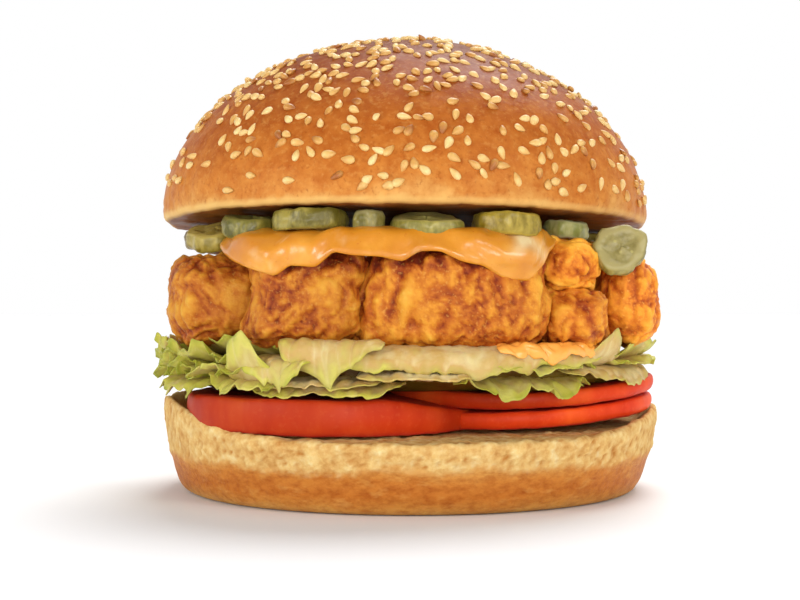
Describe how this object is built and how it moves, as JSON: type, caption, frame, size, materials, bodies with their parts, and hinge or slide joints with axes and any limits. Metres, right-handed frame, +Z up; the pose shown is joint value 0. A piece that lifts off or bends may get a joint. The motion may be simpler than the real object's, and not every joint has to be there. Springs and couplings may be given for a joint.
{
  "type": "chicken burger",
  "caption": "Round sesame bun filled with gherkin slices, thick orange sauce, breaded chicken pieces, torn lettuce and tomato slices; rests on its flat base.",
  "frame": {"origin": "middle of the flat underside of the bun's heel, on the surface it stands on", "axes": "+Z up through the stack, +X to the right as seen from the front, -Y towards the front"},
  "size_m": [0.1192, 0.1166, 0.1049],
  "materials": {
    "crust": "satin baked crust with seeds",
    "crumb": "matt pale crumb over browned crust",
    "tomato": "moist skin and flesh",
    "lettuce": "thin satin leaf",
    "chicken": "rough fried breading",
    "sauce": "smooth and glossy",
    "gherkin": "moist"
  },
  "bodies": {
    "root": {"bun_heel": "crumb", "tomato_left": "tomato", "tomato_right": "tomato", "tomato_top": "tomato", "tomato_back": "tomato", "lettuce": "lettuce", "chicken_mid_left": "chicken", "chicken_left": "chicken", "chicken_front": "chicken", "chicken_back": "chicken", "chicken_right_low": "chicken", "chicken_right_high": "chicken", "chicken_far_right": "chicken", "sauce": "sauce", "pickle_1": "gherkin", "pickle_2": "gherkin", "pickle_3": "gherkin", "pickle_4": "gherkin", "pickle_5": "gherkin", "pickle_6": "gherkin", "pickle_7": "gherkin", "pickle_8": "gherkin", "pickle_9": "gherkin", "pickle_10": "gherkin", "pickle_11": "gherkin", "pickle_12": "gherkin", "pickle_13": "gherkin", "bun_crown": "crust"}
  },
  "joints": []
}
